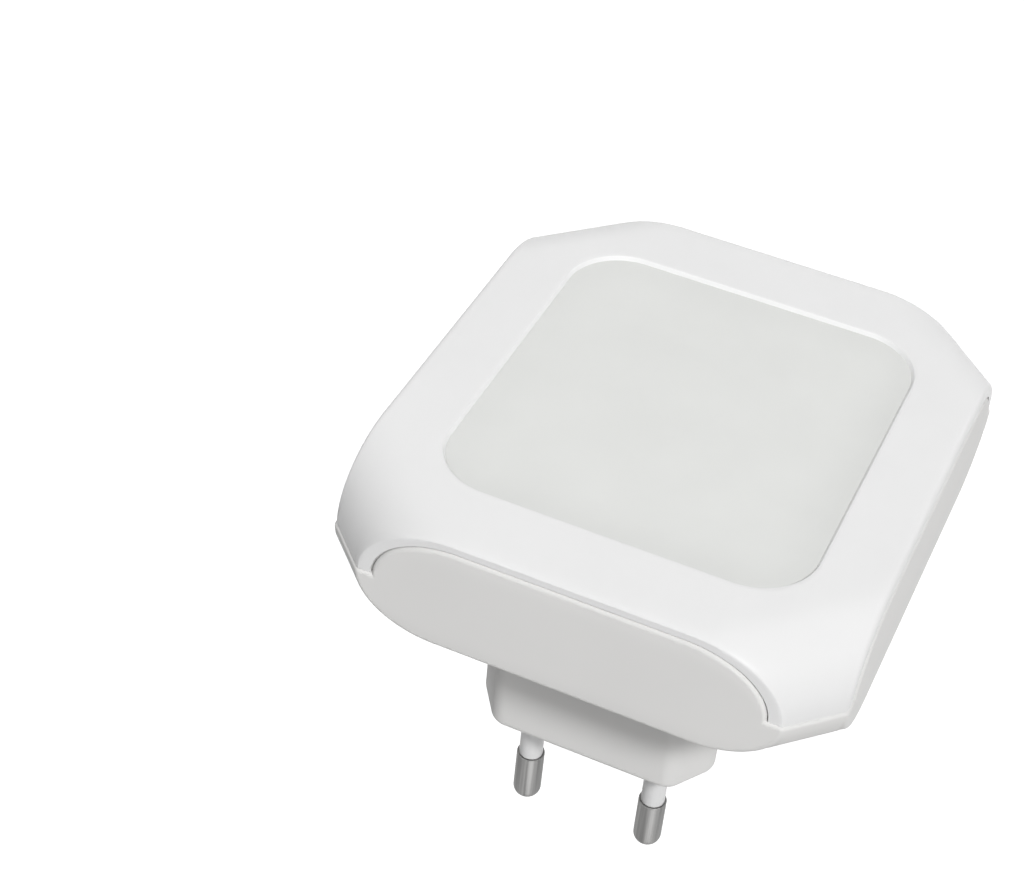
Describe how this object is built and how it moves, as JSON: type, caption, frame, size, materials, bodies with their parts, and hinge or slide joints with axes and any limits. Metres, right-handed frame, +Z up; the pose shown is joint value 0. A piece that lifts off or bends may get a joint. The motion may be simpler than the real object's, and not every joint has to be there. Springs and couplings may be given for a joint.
{
  "type": "plug in night light",
  "caption": "Thin octagonal plug-in night light with bullnosed corners, an opal diffuser panel and a hexagonal two-pin plug neck behind.",
  "frame": {"origin": "on the plug face, midway between the two pins, where the light meets the socket", "axes": "+Z up as the light hangs on the wall, +Y along the pins into the wall, -Y is the way the diffuser faces, X along the line between the pins"},
  "size_m": [0.07, 0.0626, 0.078],
  "materials": {
    "white_cover": "white injection moulded plastic, fine satin gloss",
    "white_housing": "white injection moulded plastic, fine satin gloss",
    "opal_panel": "opal light spreading plastic, fine matt face",
    "pin_metal": "nickel plated brass, polished",
    "pin_sleeve": "white insulating plastic",
    "board": "glass fibre board with white solder mask",
    "tray": "matt white reflective plastic",
    "screw_steel": "zinc plated steel",
    "led_body": "white moulded package",
    "phosphor": "yellow phosphor in clear resin",
    "sensor_resin": "dark clear resin",
    "film_capacitor": "yellow plastic box",
    "can_sleeve": "black shrunk sleeve on an aluminium can",
    "black_epoxy": "black moulded package",
    "tinned_lead": "tinned copper",
    "resistor_body": "lacquered ceramic",
    "chip_ceramic": "glazed ceramic chip",
    "wire_red": "red wire insulation",
    "wire_black": "black wire insulation"
  },
  "bodies": {
    "root": {"front_cover": "white_cover", "diffuser_lens": "opal_panel", "back_housing": "white_housing", "plug_neck": "white_housing", "pin_left": "pin_metal", "pin_right": "pin_metal", "pin_sleeve_left": "pin_sleeve", "pin_sleeve_right": "pin_sleeve", "lead_left": "wire_black", "lead_right": "wire_red", "circuit_board": "board", "board_screws": "screw_steel", "case_screws": "screw_steel", "reflector_tray": "tray", "leds": "led_body", "led_phosphors": "phosphor", "light_sensor": "sensor_resin", "dropper_capacitor": "film_capacitor", "smoothing_capacitor": "can_sleeve", "bridge_rectifier": "black_epoxy", "bridge_rectifier_leads": "tinned_lead", "fusible_resistor": "resistor_body", "fusible_resistor_leads": "tinned_lead", "bleed_resistors": "chip_ceramic", "chip_resistors": "chip_ceramic", "zener_diode": "black_epoxy", "switching_transistor": "black_epoxy", "switching_transistor_leads": "tinned_lead"}
  },
  "joints": []
}
